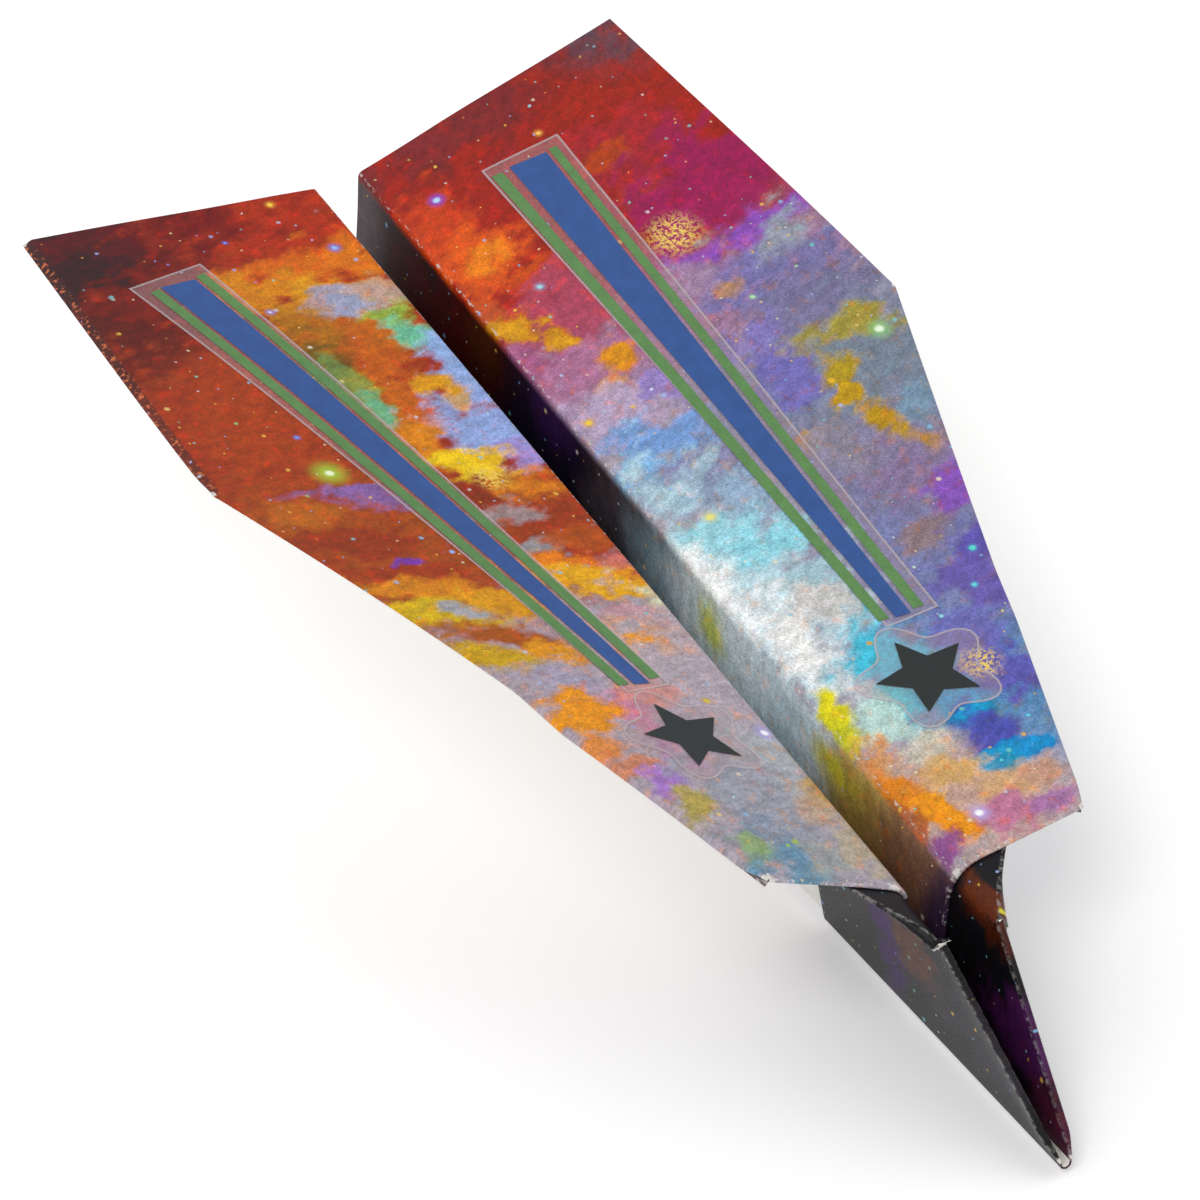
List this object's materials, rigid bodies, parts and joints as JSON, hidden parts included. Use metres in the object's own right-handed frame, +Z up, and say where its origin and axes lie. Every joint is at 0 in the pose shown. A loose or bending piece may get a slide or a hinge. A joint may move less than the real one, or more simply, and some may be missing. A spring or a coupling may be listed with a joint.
{
  "type": "folded paper plane",
  "caption": "Folded printed paper plane with a pleated nose, two creased wings and clear film stickers.",
  "frame": {"origin": "middle of the bounding box's base, under the keel crease", "axes": "+X to port, nose towards -Y, +Z up"},
  "size_m": [0.1301, 0.2371, 0.0615],
  "materials": {
    "print_paper": "nebula print on one side, fine matt grain",
    "dark_print_paper": "dark print, satin",
    "sticker_film": "clear frosted film with printed stripes or a star"
  },
  "bodies": {
    "port_side": {"keel_fold": "print_paper", "nose_keel_fold": "dark_print_paper", "port_body_wall": "print_paper", "port_nose_wall_inner": "dark_print_paper", "port_nose_wall_outer": "dark_print_paper", "port_pleat_wall_lower": "print_paper", "port_pleat_wall_upper": "print_paper"},
    "port_wing": {"port_corner_flap": "print_paper", "port_flap_pleat_lower": "print_paper", "port_flap_pleat_upper": "print_paper", "port_star_sticker": "sticker_film", "port_stripe_sticker": "sticker_film", "port_wing_nose_inner": "dark_print_paper", "port_wing_nose_outer": "dark_print_paper", "port_wing_panel": "print_paper", "port_wing_pleat_lower": "print_paper", "port_wing_pleat_upper": "print_paper"},
    "starboard_side": {"starboard_body_wall": "print_paper", "starboard_nose_wall_inner": "dark_print_paper", "starboard_nose_wall_outer": "dark_print_paper", "starboard_pleat_wall_lower": "print_paper", "starboard_pleat_wall_upper": "print_paper"},
    "starboard_wing": {"starboard_corner_flap": "print_paper", "starboard_flap_pleat_lower": "print_paper", "starboard_flap_pleat_upper": "print_paper", "starboard_star_sticker": "sticker_film", "starboard_stripe_sticker": "sticker_film", "starboard_wing_nose_inner": "dark_print_paper", "starboard_wing_nose_outer": "dark_print_paper", "starboard_wing_panel": "print_paper", "starboard_wing_pleat_lower": "print_paper", "starboard_wing_pleat_upper": "print_paper"}
  },
  "joints": [
    {"name": "keel_crease", "type": "hinge", "parent": "port_side", "child": "starboard_side", "pos_m": [0, 0, 0.00152], "axis": [0, 1, 0], "range_deg": [-25, 7]},
    {"name": "port_wing_crease", "type": "hinge", "parent": "port_side", "child": "port_wing", "pos_m": [0.0041, 0.11328, 0.05235], "axis": [0, -0.9945, -0.1051], "range_deg": [-60, 60]},
    {"name": "starboard_wing_crease", "type": "hinge", "parent": "starboard_side", "child": "starboard_wing", "pos_m": [-0.0041, 0.11328, 0.05235], "axis": [0, 0.9945, 0.1051], "range_deg": [-60, 60]}
  ]
}
